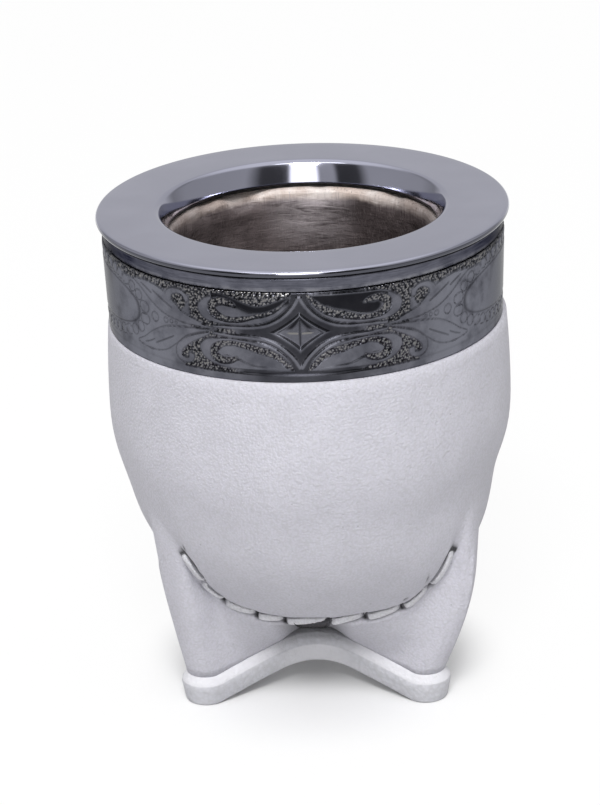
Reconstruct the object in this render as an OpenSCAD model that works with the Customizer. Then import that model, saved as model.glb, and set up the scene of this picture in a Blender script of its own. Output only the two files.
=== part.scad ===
// Mate cup: a calabash in a laced leather cover with three legs, a metal ferrule round the mouth
// and a thick arched leather sole. Millimetres, +Z up, origin on the floor under the middle of the cup.
// The three bays between the legs face -Y (front), right and left behind it; one leg stands at +Y.

/* [Body] */
// Height of the mouth ring above the floor
cup_h = 106.5; // [98:0.5:130]
// Largest radius of the leather body
body_r = 42.2; // [42:0.1:52]
// Height of the largest radius above the floor
waist_z = 65; // [62:0.5:74]
// Depth of the rounded leather belly below the largest radius
belly_drop = 50.5; // [46:0.5:52]
// How far the leather stands out past the band just under it
shoulder_step = 0.3; // [0.1:0.1:1]
// Thickness of the leather
leather_t = 2; // [1.4:0.1:2.6]

/* [Gourd] */
// Thickness of the gourd wall
gourd_wall = 6; // [4:0.1:8]
// Room between the bottom of the gourd and the leather belly, where the laces turn
lace_room = 6; // [5:0.1:12]
// Radius of the scraped opening at the gourd's cut face
gourd_mouth_r = 27.4; // [25:0.1:30]
// Width of the bevel on the cut edge
cut_bevel = 1.4; // [0.5:0.1:2]

/* [Ferrule] */
// Radius of the throat inside the rolled lip
throat_r = 27.8; // [24:0.1:31]
// Depth of the rolled lip below the mouth ring
lip_depth = 4.8; // [4:0.1:7]
// How far the mouth ring flares out above the throat
lip_flare = 2; // [1:0.1:3]
// Height of the straight edge below the flare
lip_straight = 0.8; // [0.6:0.1:1.5]
// Outer radius of the mouth ring
rim_r = 42.5; // [42:0.1:46]
// Radius of the rounded edge of the mouth ring
rim_bead = 0.75; // [0.6:0.05:1]
// Width of the hem folded under the edge of the mouth ring
hem_w = 2; // [1.5:0.1:3]
// Thickness of the sheet metal
metal_t = 0.8; // [0.5:0.05:1]
// Height of the plain tapered collar
collar_h = 3.1; // [2:0.1:5]
// Height of the chased band
band_h = 18.1; // [14:0.1:24]
// Outer radius of the chased band at its borders
band_r = 41.5; // [41:0.1:43]
// Height of each raised border of the band
border_h = 0.9; // [0.5:0.1:1.5]
// Depth of the band's ground below its borders
band_ground = 0.35; // [0.2:0.05:0.5]
// How far the leather is tucked up under the band
tuck_h = 3.5; // [2:0.1:5]
// Thickness of the leather's skived edge under the band
tuck_t = 1.2; // [0.8:0.1:1.4]

/* [Legs and sole] */
// Thickness of the sole at its edge, below the bevel
sole_edge_h = 4.7; // [3.5:0.1:6]
// Height of the bevel round the top edge of the sole
sole_bevel_h = 1.9; // [1:0.1:2.5]
// How far the leather stands in from the edge of the sole
sole_margin = 1.2; // [0.8:0.1:1.6]
// Height of the arch under the middle of the sole
sole_arch = 6.5; // [4:0.1:8]
// Half the width of a foot, and the radius of its tip
foot_w = 5.4; // [4.8:0.1:6.6]
// Distance of a foot's tip centre from the middle
foot_reach = 27.1; // [24:0.1:33]
// Radius of the hollow between two feet
bay_r = 14; // [10:0.1:16]
// How far a leg swells out between its seam and its foot
leg_swell = 1.9; // [1:0.1:3]

/* [Laced seams] */
// Height of a seam at the middle of its bay
seam_low = 22.3; // [20:0.1:25]
// Height where two neighbouring seams would meet on a leg
seam_high = 48; // [44:0.1:54]
// Stitches in each bay
stitches = 9; // [6:1:10]
// Width of the lace
lace_w = 1.4; // [1:0.1:1.5]
// Thickness of the lace
lace_t = 0.6; // [0.5:0.1:0.7]
// Height of a lace hole
hole_h = 2.4; // [2.2:0.1:2.8]
// Leather left between the seam line and its holes
hole_edge = 1; // [0.8:0.1:1.4]

/* [Fits] */
// Gap filled by glue between bonded pieces
bond_gap = 0.1; // [0.05:0.05:0.15]
// Gap between the tucked leather and the band
tuck_gap = 0.25; // [0.2:0.05:0.4]
// Gap between the leather and the gourd at the waist
gourd_gap = 0.4; // [0.3:0.05:0.6]

/* [Hidden] */
$fn = 96;

// Levels, from the mouth ring downwards
ring_under_z = cup_h - metal_t;
hem_low_z = cup_h - 2 * rim_bead;
collar_top_z = hem_low_z - bond_gap;
collar_low_z = collar_top_z - collar_h;
band_top_z = collar_low_z - bond_gap;
band_low_z = band_top_z - band_h;
lip_low_z = cup_h - lip_depth;
lip_drop = lip_depth - lip_straight;
lip_rest = 0.8;
cut_z = lip_low_z - lip_rest;
tuck_top_z = band_low_z + tuck_h;
shoulder_drop = 0.6;
shoulder_z = band_low_z - shoulder_drop;

// Radii inside the ferrule
lip_back_r = throat_r + metal_t;
rim_bead_r = rim_r - rim_bead;
hem_r = rim_bead_r - hem_w;
band_in_r = band_r - band_ground - metal_t;
collar_step = 0.5;
collar_top_r = rim_r - collar_step;
collar_inset = 0.3;
collar_low_r = band_r - collar_inset;
tuck_r = band_in_r - tuck_gap;
neck_r = tuck_r - tuck_t - gourd_gap;

// Profile above the waist: from radius a at the waist it bends evenly to radius top_r at height top_z
function upper_r(z, a, top_r, top_z) = a + (top_r - a) * pow((z - waist_z) / (top_z - waist_z), 2);
// Profile below the waist: an oval of radius a that reaches down by low
function lower_r(z, a, low) = a * sqrt(max(0, 1 - pow((z - waist_z) / low, 2)));

shoulder_r = band_r + shoulder_step;
function skin_r(z, d) =
  z < waist_z ? lower_r(z, body_r - d, belly_drop - d) : upper_r(z, body_r - d, shoulder_r - d, shoulder_z);

// The gourd: outside it follows the leather, and its belly leaves room for the laces
gourd_r = body_r - leather_t - gourd_gap;
gourd_low = belly_drop - leather_t - lace_room;
neck_z = band_low_z;
hollow_r = gourd_r - gourd_wall;
hollow_low = gourd_low - gourd_wall;
throat_h = 4;
hollow_top_z = cut_z - throat_h;
profile_steps = 14;

module gourd_cup() {
  outside = [for (i = [0 : profile_steps])
    let (a = 90 * i / profile_steps) [gourd_r * sin(a), waist_z - gourd_low * cos(a)]];
  upper = [for (i = [1 : profile_steps])
    let (z = waist_z + (neck_z - waist_z) * i / profile_steps) [upper_r(z, gourd_r, neck_r, neck_z), z]];
  cut = [[neck_r, cut_z], [gourd_mouth_r + cut_bevel, cut_z], [gourd_mouth_r, cut_z - cut_bevel]];
  inner_top = [for (i = [0 : profile_steps])
    let (z = hollow_top_z + (waist_z - hollow_top_z) * i / profile_steps)
    [upper_r(z, hollow_r, gourd_mouth_r, hollow_top_z), z]];
  inner_low = [for (i = [profile_steps - 1 : -1 : 0])
    let (a = 90 * i / profile_steps) [hollow_r * sin(a), waist_z - hollow_low * cos(a)]];
  color("peru")
    rotate_extrude()
      polygon(concat(outside, upper, cut, inner_top, inner_low));
}

// Setting resin: it fills the ferrule above the gourd's cut face and shows as a line under the lip
module resin_bed() {
  low_z = tuck_top_z + bond_gap;
  seat_z = cut_z + bond_gap;
  out_r = band_in_r - bond_gap;
  low_r = collar_low_r - metal_t - bond_gap;
  top_r = collar_top_r - metal_t - bond_gap;
  top_z = ring_under_z - bond_gap;
  lip_r = lip_back_r + bond_gap;
  bead_show = 0.4;
  bead_r = gourd_mouth_r + cut_bevel - bead_show;
  bead_z = lip_low_z - bond_gap;
  color("saddlebrown")
    rotate_extrude()
      polygon([[neck_r + bond_gap, low_z], [out_r, low_z], [out_r, band_top_z], [low_r, band_top_z],
        [top_r, hem_low_z - bond_gap], [hem_r - bond_gap, hem_low_z - bond_gap], [hem_r - bond_gap, top_z],
        [lip_r + lip_flare, top_z], [lip_r, top_z - lip_drop], [lip_r, bead_z], [bead_r, bead_z],
        [bead_r, seat_z], [neck_r + bond_gap, seat_z]]);
}

// Flat polished ring with a rounded outer edge and a lip that flares down into the throat
function flare(r, z) = [for (i = [0 : profile_steps])
  let (a = 90 * i / profile_steps) [r + lip_flare * (1 - sin(a)), z - lip_drop * (1 - cos(a))]];

module mouth_ring() {
  edge_z = lip_low_z + metal_t / 2;
  back = flare(lip_back_r, ring_under_z);
  color("silver")
    rotate_extrude()
      union() {
        polygon(concat([[rim_bead_r, cup_h]], flare(throat_r, cup_h), [[throat_r, edge_z]],
          [[lip_back_r, edge_z]], [for (i = [profile_steps : -1 : 0]) back[i]], [[rim_bead_r, ring_under_z]]));
        translate([hem_r, hem_low_z])
          square([hem_w, 2 * rim_bead]);
        translate([rim_bead_r, cup_h - rim_bead])
          circle(rim_bead);
        translate([throat_r + metal_t / 2, edge_z])
          circle(metal_t / 2);
      }
}

// Plain tapered collar between the mouth ring and the band
module collar_ring() {
  color("darkgray")
    rotate_extrude()
      polygon([[collar_low_r - metal_t, collar_low_z], [collar_low_r, collar_low_z],
        [collar_top_r, collar_top_z], [collar_top_r - metal_t, collar_top_z]]);
}

// Band with two raised borders; its ornament stands on the ground between them
module chased_band() {
  ground_r = band_r - band_ground;
  color("gray")
    rotate_extrude()
      polygon([[band_in_r, band_low_z], [band_r, band_low_z], [band_r, band_low_z + border_h],
        [ground_r, band_low_z + border_h], [ground_r, band_top_z - border_h],
        [band_r, band_top_z - border_h], [band_r, band_top_z], [band_in_r, band_top_z]]);
}

// Outline of a bay's half, from the middle of the hollow (s = 0) to the tip of the foot (s = 1),
// for feet of half-width w. The hollow, the straight flank and the tip each keep their share of s.
// Points are [along the bay, outwards].
legs = 3;
half_bay = 180 / legs;
bay_span = foot_w + bay_r;
skirt_w = foot_w - sole_margin;
flank_start = bay_span / tan(half_bay);
hollow_len = (bay_span - skirt_w) * (90 - half_bay) * PI / 180;
flank_len = foot_reach - flank_start;
tip_len = skirt_w * PI / 2;
edge_len = hollow_len + flank_len + tip_len;
hollow_s = hollow_len / edge_len;
flank_s = (hollow_len + flank_len) / edge_len;
leg_way = [sin(half_bay), cos(half_bay)];
across = [-cos(half_bay), sin(half_bay)];
function half_edge(s, w) =
  s < hollow_s ? hollow_pt(-90 + (90 - half_bay) * s / hollow_s, bay_span - w) :
  s < flank_s ? flank_pt((s - hollow_s) / (flank_s - hollow_s), w) :
  foot_reach * leg_way + w * turned(90 * (1 - s) / (1 - flank_s));
function hollow_pt(a, r) = [r * cos(a), bay_span / sin(half_bay) + r * sin(a)];
function flank_pt(t, w) = (flank_start + flank_len * t) * leg_way + w * across;
function turned(a) = cos(a) * leg_way + sin(a) * across;
// The same outline over the whole bay, s from -1 to 1
function edge_pt(s, w) = let (p = half_edge(abs(s), w)) [s < 0 ? -p.x : p.x, p.y];

// Turns a bay's point [along, outwards] and height into the frame of the cup
function bay_pt(bay, p, z) =
  let (a = 2 * half_bay * bay - 90)
  [p.y * cos(a) - p.x * sin(a), p.y * sin(a) + p.x * cos(a), z];

// Underside of the sole at distance r from the middle: it comes down to the floor at the feet
arch_curve = 1.25;
function arch_z(r) = sole_arch * (1 - pow(r / foot_reach, arch_curve));
sole_h = sole_edge_h + sole_bevel_h;
function sole_top_z(p) = sole_h + max(0, arch_z(norm(p)));

// Columns run round the cup: two for each stitch, and plain ones up to the ridge of the leg
first_stitch_col = 2;
bay_cols = 2 * (stitches + first_stitch_col) + 1;
cols = legs * bay_cols;
function col_s(j) = -1 + 2 * (j % bay_cols) / bay_cols;
function col_bay(j) = floor((j % cols) / bay_cols);

// The seam: its angle from the middle of the bay, and its height
seam_ease = 1.45;
seam_curve = 4.4;
function seam_angle(s) = sign(s) * half_bay * (1 - pow(1 - abs(s), seam_ease));
function seam_z(s) = seam_low + (seam_high - seam_low) * pow(abs(s), seam_curve);
// Change of height for a step along the skin at height z
function skin_rise(z, step) = step / sqrt(1 + pow(skin_r(z + 0.5, 0) - skin_r(z - 0.5, 0), 2));
function skin_pt(s, z, d) = let (a = seam_angle(s)) skin_r(z, d) * [sin(a), cos(a)];

// Step down a column for each step square to the seam, where the seam climbs round the leg
seam_end = 1 - 2 * first_stitch_col / bay_cols;
seam_step = 0.01;
function unit(v) = v / norm(v);
function seam_pt(s) = let (z = seam_z(s), p = skin_pt(s, z, 0)) [p.x, p.y, z];
function seam_stretch(s) =
  let (q = max(-seam_end, min(seam_end, s)), z = seam_z(q), a = seam_angle(q),
    g = skin_r(z + 0.5, 0) - skin_r(z - 0.5, 0), column = unit([g * sin(a), g * cos(a), 1]))
  1 / norm(cross(unit(seam_pt(q + seam_step) - seam_pt(q - seam_step)), column));

// Skirt below the seam: a loft from the seam to the sole that swells out along the leg, at depth d
function skirt_low_z(s, d) = sole_top_z(edge_pt(s, skirt_w - d)) + bond_gap;
function skirt_len(s) =
  let (a = skin_pt(s, seam_z(s), 0), b = edge_pt(s, skirt_w))
  norm([a.x - b.x, a.y - b.y, seam_z(s) - skirt_low_z(s, 0)]);
swell_curve = 3;
function skirt_pt(s, v, d) =
  (1 - v) * skin_pt(s, seam_z(s), d) + v * edge_pt(s, skirt_w - d)
  + leg_swell * sin(180 * v) * pow(abs(s), swell_curve) * [sign(s) * leg_way.x, leg_way.y];

// Rows of the leather from the tucked edge down to the sole, as [plan point, height]
body_rows = 10;
skirt_rows = 4;
first_hole_row = 2 + body_rows;
seam_row = first_hole_row + 2;
first_slot_row = seam_row + 1;
last_row = first_slot_row + 1 + skirt_rows;
function upper_z(s, k) =
  let (top = seam_z(s) + skin_rise(seam_z(s), (hole_edge + hole_h) * seam_stretch(s)))
  shoulder_z + (top - shoulder_z) * (k - 2) / body_rows;
function skirt_v(s, k) =
  let (unit_v = seam_stretch(s) / skirt_len(s), v2 = (hole_edge + hole_h) * unit_v)
  k == first_slot_row ? hole_edge * unit_v : v2 + (1 - v2) * (k - first_slot_row - 1) / skirt_rows;
function tuck_pt(s, d) = let (a = seam_angle(s)) (tuck_r - d * tuck_t / leather_t) * [sin(a), cos(a)];
function row_pt(s, k, d) =
  k == 0 ? [tuck_pt(s, d), tuck_top_z] :
  k == 1 ? [tuck_pt(s, d), band_low_z - bond_gap] :
  k <= first_hole_row ? let (z = upper_z(s, k)) [skin_pt(s, z, d), z] :
  k == first_hole_row + 1 ?
    let (z = seam_z(s) + skin_rise(seam_z(s), hole_edge * seam_stretch(s))) [skin_pt(s, z, d), z] :
  k == seam_row ? [skin_pt(s, seam_z(s), d), seam_z(s)] :
  let (v = skirt_v(s, k)) [skirt_pt(s, v, d), seam_z(s) + (skirt_low_z(s, d) - seam_z(s)) * v];
function leather_pt(k, j, d) = let (q = row_pt(col_s(j), k, d)) bay_pt(col_bay(j), q[0], q[1]);

// Each stitch comes out of a slot below the seam and goes back in by a hole above it, two columns on
function stitch_cell(k, j) =
  let (c = j % bay_cols - first_stitch_col)
  c % 2 == 0 && ((k == first_slot_row && c >= 0 && c < 2 * stitches)
    || (k == first_hole_row && c > 0 && c <= 2 * stitches));

module leather_cover() {
  layer = (last_row + 1) * cols;
  points = [for (d = [0, leather_t], k = [0 : last_row], j = [0 : cols - 1]) leather_pt(k, j, d)];
  function o(k, j) = k * cols + j % cols;
  function i(k, j) = layer + o(k, j);
  function quad(a, b, c, e) = [[a, b, c], [a, c, e]];
  skins = [for (k = [0 : last_row - 1], j = [0 : cols - 1]) if (!stitch_cell(k, j))
    each concat(quad(o(k, j), o(k, j + 1), o(k + 1, j + 1), o(k + 1, j)),
      quad(i(k + 1, j), i(k + 1, j + 1), i(k, j + 1), i(k, j)))];
  edges = [for (j = [0 : cols - 1])
    each concat(quad(o(0, j), i(0, j), i(0, j + 1), o(0, j + 1)),
      quad(o(last_row, j), o(last_row, j + 1), i(last_row, j + 1), i(last_row, j)))];
  holes = [for (k = [first_hole_row, first_slot_row], j = [0 : cols - 1]) if (stitch_cell(k, j))
    each concat(quad(o(k, j), o(k, j + 1), i(k, j + 1), i(k, j)),
      quad(o(k + 1, j + 1), o(k + 1, j), i(k + 1, j), i(k + 1, j + 1)),
      quad(o(k + 1, j), o(k, j), i(k, j), i(k + 1, j)),
      quad(o(k, j + 1), o(k + 1, j + 1), i(k + 1, j + 1), i(k, j + 1)))];
  color("whitesmoke")
    polyhedron(points, concat(skins, edges, holes), convexity = 10);
}

// Lace: a flat strip that comes out of a slot, runs along the seam into the next hole,
// and crosses the seam on the inside to the slot below that hole. The holes squeeze it narrower.
// A guide is [point, direction of the lace's width, side of the leather].
lace_squeeze = 0.5;
lace_bow = 0.75 * leather_t;
function cell_pt(k, j, d) =
  (leather_pt(k, j, d) + leather_pt(k, j + 1, d) + leather_pt(k + 1, j, d) + leather_pt(k + 1, j + 1, d)) / 4;
function cell_out(k, j) =
  let (a = leather_pt(k + 1, j, 0) - leather_pt(k, j + 1, 0),
    b = leather_pt(k + 1, j + 1, 0) - leather_pt(k, j, 0))
  unit(cross(a, b));
function over(k, j) = cell_pt(k, j, 0) + lace_bow * cell_out(k, j);
function under(k, j) = cell_pt(k, j, leather_t) - lace_bow * cell_out(k, j);
function down_seam(j) = unit(leather_pt(first_slot_row + 1, j, 0) - leather_pt(first_hole_row, j, 0));
function along_seam(j) = unit(leather_pt(seam_row, j + 1, 0) - leather_pt(seam_row, j, 0));

module lace(bay) {
  first = bay * bay_cols + first_stitch_col;
  guides = [for (n = [0 : stitches - 1])
    let (a = first + 2 * n, b = a + 2)
    each [[under(first_slot_row, a), along_seam(a), -1], [over(first_slot_row, a), down_seam(a), 1],
      [over(first_hole_row, b), down_seam(b), 1], [under(first_hole_row, b), along_seam(b), -1]]];
  path = [for (g = [1 : len(guides) - 2], t = [0, 0.5])
    (pow(1 - t, 2) * guides[g - 1] + (1 + 2 * t - 2 * t * t) * guides[g] + t * t * guides[g + 1]) / 2];
  last = len(path) - 1;
  rings = [for (n = [0 : last])
    let (t = unit(path[min(n + 1, last)][0] - path[max(n - 1, 0)][0]),
      w = lace_w * (lace_squeeze + (1 - lace_squeeze) * abs(path[n][2])),
      x = unit(cross(t, path[n][1])) * lace_t / 2, y = unit(cross(x, t)) * w / 2)
    each [path[n][0] + x + y, path[n][0] - x + y, path[n][0] - x - y, path[n][0] + x - y]];
  sides = [for (n = [0 : last - 1], c = [0 : 3])
    let (a = 4 * n + c, b = 4 * n + (c + 1) % 4)
    each [[a, b, b + 4], [a, b + 4, a + 4]]];
  e = 4 * last;
  ends = [[3, 2, 1], [3, 1, 0], [e, e + 1, e + 2], [e, e + 2, e + 3]];
  color("white")
    polyhedron(rings, concat(sides, ends), convexity = 10);
}

module lace_front() {
  lace(0);
}

module lace_right() {
  lace(1);
}

module lace_left() {
  lace(2);
}

// Sole: arched between its feet, with upright sides and a bevel up to the edge of the leather
edge_cols = 14;
function sole_ring(w, part, lift, floor) = [for (bay = [0 : legs - 1], n = [0 : 2 * edge_cols - 1])
  let (p = part * edge_pt(-1 + n / edge_cols, w)) bay_pt(bay, p, lift + max(floor, arch_z(norm(p))))];

module sole() {
  below = 4;
  side = 4 * (foot_reach + foot_w);
  parts = [0.3, 0.6, 0.85];
  rings = [for (f = parts) sole_ring(foot_w, f, 0, -below), sole_ring(foot_w, 1, 0, -below),
    sole_ring(foot_w, 1, sole_edge_h, 0), sole_ring(skirt_w, 1, sole_h, 0),
    sole_ring(skirt_w - leather_t, 1, sole_h, 0),
    for (i = [len(parts) - 1 : -1 : 0]) sole_ring(skirt_w - leather_t, parts[i], sole_h, 0)];
  count = 2 * legs * edge_cols;
  last = len(rings) - 1;
  points = concat([for (r = rings) each r], [[0, 0, sole_arch], [0, 0, sole_arch + sole_h]]);
  under = len(points) - 2;
  over = len(points) - 1;
  bands = [for (k = [0 : last - 1], j = [0 : count - 1])
    let (a = k * count + j, b = k * count + (j + 1) % count)
    each [[a, a + count, b + count], [a, b + count, b]]];
  middles = [for (j = [0 : count - 1])
    let (i = (j + 1) % count)
    each [[under, j, i], [over, last * count + i, last * count + j]]];
  color("gainsboro")
    difference() {
      polyhedron(points, concat(bands, middles), convexity = 6);
      translate([-side / 2, -side / 2, -2 * below])
        cube([side, side, 2 * below]);
    }
}

gourd_cup();
resin_bed();
mouth_ring();
collar_ring();
chased_band();
leather_cover();
lace_front();
lace_right();
lace_left();
sole();
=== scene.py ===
import math

import bmesh
import bpy
import numpy as np
from mathutils import Euler, Matrix, Vector


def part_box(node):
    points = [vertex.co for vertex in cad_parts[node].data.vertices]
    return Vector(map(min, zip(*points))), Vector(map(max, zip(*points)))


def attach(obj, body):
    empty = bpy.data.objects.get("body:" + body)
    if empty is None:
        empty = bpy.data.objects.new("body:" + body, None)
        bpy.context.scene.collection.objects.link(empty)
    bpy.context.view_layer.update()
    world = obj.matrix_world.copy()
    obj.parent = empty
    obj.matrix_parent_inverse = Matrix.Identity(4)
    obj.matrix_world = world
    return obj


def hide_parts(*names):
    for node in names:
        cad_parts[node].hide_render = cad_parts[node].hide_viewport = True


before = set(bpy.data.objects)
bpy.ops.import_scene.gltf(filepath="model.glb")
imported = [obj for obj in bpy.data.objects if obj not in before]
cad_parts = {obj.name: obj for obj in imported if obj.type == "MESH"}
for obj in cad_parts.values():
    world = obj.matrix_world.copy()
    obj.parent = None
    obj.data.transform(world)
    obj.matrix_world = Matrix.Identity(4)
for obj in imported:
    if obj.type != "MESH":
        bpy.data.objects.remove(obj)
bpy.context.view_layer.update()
MM = 0.001


# The studio: a white floor, one soft lamp, and a grey room with a bright window in front of the cup and a
# bright batten above it. The camera stands half a metre in front and looks down into the mouth.
class Wire:
    """A shader socket that adds and multiplies as a number does, and adds any other node to its tree."""

    def __init__(self, tree, socket=None):
        self.tree = tree
        self.socket = socket

    def node(self, kind, settings=(), sockets=(), out=0):
        made = self.tree.nodes.new("ShaderNode" + kind)
        for key, value in dict(settings).items():
            if key == "stops":
                ramp = made.color_ramp.elements
                while len(ramp) < len(value):
                    ramp.new(1)
                for element, (place, colour) in zip(ramp, value):
                    element.position = place
                    element.color = colour
            else:
                setattr(made, key, value)
        usable = [s for s in made.inputs if s.enabled]
        for key, value in dict(sockets).items():
            named = (s for s in usable if key in (s.name, s.identifier))
            self.set(usable[key] if isinstance(key, int) else next(named), value)
        found = [s for s in made.outputs if s.enabled]
        wanted = found[out] if isinstance(out, int) else next(s for s in found if s.name == out)
        return Wire(self.tree, wanted)

    def set(self, socket, value):
        if isinstance(value, Wire):
            self.tree.links.new(value.socket, socket)
        else:
            socket.default_value = value

    def math(self, operation, *values):
        return self.node("Math", {"operation": operation}, dict(enumerate(values)))

    def __add__(self, other):
        return self.math("ADD", self, other)

    __radd__ = __add__

    def __sub__(self, other):
        return self.math("SUBTRACT", self, other)

    def __rsub__(self, other):
        return self.math("SUBTRACT", other, self)

    def __mul__(self, other):
        return self.math("MULTIPLY", self, other)

    __rmul__ = __mul__

    def __truediv__(self, other):
        return self.math("DIVIDE", self, other)

    def axis(self, name):
        """X, Y or Z of this place."""
        return self.node("SeparateXYZ", {}, {"Vector": self}, out=name)

    def turn(self):
        """Turn of this place round the cup from its front, in radians, growing towards +X."""
        return self.math("ARCTAN2", self.axis("X"), self.axis("Y") * -1)

    def length(self):
        """How far this place is from the origin."""
        return self.node("VectorMath", {"operation": "LENGTH"}, {"Vector": self}, out="Value")

    def scaled(self, x, y, z):
        """This place with its axes scaled: a texture on it is drawn out along the small ones."""
        return self.node("Mapping", {}, {"Vector": self, "Scale": (x, y, z)})

    def stored(self, name):
        """A number that the mesh holds at its points under a name."""
        return self.node("Attribute", {"attribute_name": name}, out="Fac")

    def step(self, low, high):
        """Smooth step from 0 at low to 1 at high."""
        return self.node("MapRange", {"interpolation_type": "SMOOTHSTEP"},
                         {"Value": self, "From Min": low, "From Max": high})

    def within(self, low, high, soft):
        """1 between low and high and 0 beside them, with soft ends."""
        return self.step(low - soft, low + soft) * (1 - self.step(high - soft, high + soft))

    def mix(self, a, b):
        """Colour a where this is 0, colour b where it is 1."""
        return self.node("Mix", {"data_type": "RGBA"}, {"Factor_Float": self, "A_Color": a, "B_Color": b})

    def noise(self, scale, detail=2.0, roughness=0.5, distortion=0.0):
        """Noise at this place, scale in cells per metre."""
        return self.node("TexNoise", {}, {"Vector": self, "Scale": scale, "Detail": detail,
                                          "Roughness": roughness, "Distortion": distortion})

    def bump(self, shader, distance, strength):
        """Raises the surface of a shader by this height."""
        self.set(shader.inputs["Normal"], self.node("Bump", {}, {
            "Height": self, "Distance": distance, "Strength": strength}))


def grey(level, warm=0.0):
    return (level * (1 + warm), level, level * (1 - warm), 1)


def new_finish(name, **plain):
    """A material with plain numbers set on its shader: the material, its shader and its Object place."""
    material = bpy.data.materials.new(name)
    material.use_nodes = True
    shader = material.node_tree.nodes["Principled BSDF"]
    for key, value in plain.items():
        shader.inputs[key.replace("_", " ")].default_value = value
    place = Wire(material.node_tree).node("TexCoord", out="Object")
    return material, shader, place


def new_piece(name, bm, material):
    """The finished mesh as an object at the origin."""
    mesh = bpy.data.meshes.new(name)
    bm.to_mesh(mesh)
    bm.free()
    mesh.polygons.foreach_set("use_smooth", [True] * len(mesh.polygons))
    mesh.materials.append(material)
    piece = bpy.data.objects.new(name, mesh)
    bpy.context.collection.objects.link(piece)
    return piece


scene = bpy.context.scene
scene.view_settings.view_transform = "Standard"

floor_size = 4.0
# The floor's white where it is seen or mirrored, and where it throws light back at the cup.
floor_white, floor_bounce = 0.95, 0.52
# Between these two radii the floor that is seen goes over to a plain white glow.
foot_shade, open_floor, open_glow = 0.026, 0.044, 0.9
floor_paint, shader, place = new_finish("floor_paint", Roughness=0.9)
sight_rays = ("Is Camera Ray", "Is Glossy Ray", "Is Transmission Ray")
in_sight = place.math("MINIMUM", sum(place.node("LightPath", out=ray) for ray in sight_rays), 1.0)
place.set(shader.inputs["Base Color"], in_sight.mix(grey(floor_bounce), grey(floor_white)))
from_cup = place.length()
glow = place.node("Emission", {}, {"Color": grey(1.0), "Strength": 1.0})
lit = place.node("MixShader", {}, {0: in_sight * from_cup.step(foot_shade, open_floor) * open_glow,
                                   1: Wire(place.tree, shader.outputs[0]), 2: glow})
place.set(floor_paint.node_tree.nodes["Material Output"].inputs["Surface"], lit)
floor_bm = bmesh.new()
bmesh.ops.create_grid(floor_bm, x_segments=1, y_segments=1, size=floor_size / 2)
floor = new_piece("floor", floor_bm, floor_paint)

# Walls of the room by their turn from the front in degrees, towards +X, and how bright each is.
walls = [(-180, 0.62), (-145, 0.6), (-132, 0.3), (-115, 0.42), (-58, 0.46), (-48, 0.06), (-29, 0.05),
         (-26, 0.5), (-15, 0.45), (-13, 0.15), (-10, 2.6), (11, 2.6), (14, 0.05), (38, 0.06), (52, 0.46),
         (115, 0.42), (132, 0.3), (145, 0.6), (180, 0.62)]
ceiling = 0.95
ceiling_low, ceiling_high = 0.6, 0.9
# The batten: its brightness, its height as the Z of the way to it, its turns in degrees and its soft ends.
batten, batten_low, batten_high, batten_from, batten_to, batten_soft = 3.0, 0.76, 0.86, -45, 30, 0.01
room = bpy.data.worlds.new("room")
scene.world = room
room.use_nodes = True
way = Wire(room.node_tree).node("TexCoord", out="Generated")
round_room = way.turn() / math.tau + 0.5
wall_stops = [(turn / 360 + 0.5, grey(level)) for turn, level in walls]
wall = way.node("ValToRGB", {"stops": wall_stops}, {"Fac": round_room})
back = room.node_tree.nodes["Background"]
way_up = way.axis("Z")
above = way_up.step(ceiling_low, ceiling_high).mix(wall, grey(ceiling))
on_batten = way_up.within(batten_low, batten_high, batten_soft)
on_batten *= round_room.within(batten_from / 360 + 0.5, batten_to / 360 + 0.5, batten_soft)
way.set(back.inputs["Color"], on_batten.mix(above, grey(batten)))

lamp = bpy.data.lights.new("key_lamp", "AREA")
lamp.size = 0.34
lamp.energy = 7.2
lamp_place = Vector((-0.02, -0.75, 1.0))
lamp_aim = Vector((0, 0, 0.06))
key_lamp = bpy.data.objects.new("key_lamp", lamp)
key_lamp.location = lamp_place
key_lamp.rotation_euler = (lamp_aim - lamp_place).to_track_quat("-Z", "Y").to_euler()
bpy.context.collection.objects.link(key_lamp)

camera_place = Vector((30.735, -565.4, 291.96)) * MM
camera_down, camera_turn, camera_roll = (math.radians(a) for a in (22.076, 3.311, 2.22))
camera = bpy.data.cameras.new("camera")
camera.lens = 129.37
camera.sensor_width = 36
camera.clip_start = 0.01
camera_object = bpy.data.objects.new("camera", camera)
look = Euler((math.pi / 2 - camera_down, 0, camera_turn)).to_matrix()
roll = Matrix.Rotation(-camera_roll, 3, "Z")
camera_object.matrix_world = Matrix.Translation(camera_place) @ (look @ roll).to_4x4()
bpy.context.collection.objects.link(camera_object)
scene.camera = camera_object


# The gourd: a dried calabash, cut off flat at the mouth and scraped out with a round blade.
# Its brown wall shows tool marks round it at the left and fibres up and down at the right, and its cut edge
# is pale, with a few chips.
def arc(centre, radius, start, end, steps=6):
    """Points of an arc in a profile, from one angle in degrees to another."""
    turns = [math.radians(start + (end - start) * n / steps) for n in range(steps + 1)]
    return [(centre[0] + radius * math.cos(t), centre[1] + radius * math.sin(t)) for t in turns]


def lathe(profile, steps):
    """A closed profile of (radius, height) points turned round the axis of the cup."""
    bm = bmesh.new()
    verts = [bm.verts.new((r, 0, z)) for r, z in profile]
    edges = [bm.edges.new((verts[n - 1], verts[n])) for n in range(len(verts))]
    bmesh.ops.spin(bm, geom=verts + edges, axis=(0, 0, 1), cent=(0, 0, 0), angle=math.tau, steps=steps,
                   use_merge=True)
    bmesh.ops.remove_doubles(bm, verts=bm.verts, dist=0.001 * MM)
    bmesh.ops.recalc_face_normals(bm, faces=bm.faces)
    return bm


def upper_r(z, widest, top_r, top_z):
    """Radius at height z above the waist, of a wall that draws in to top_r at top_z."""
    return widest + (top_r - widest) * ((z - waist_z) / (top_z - waist_z)) ** 2


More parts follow.
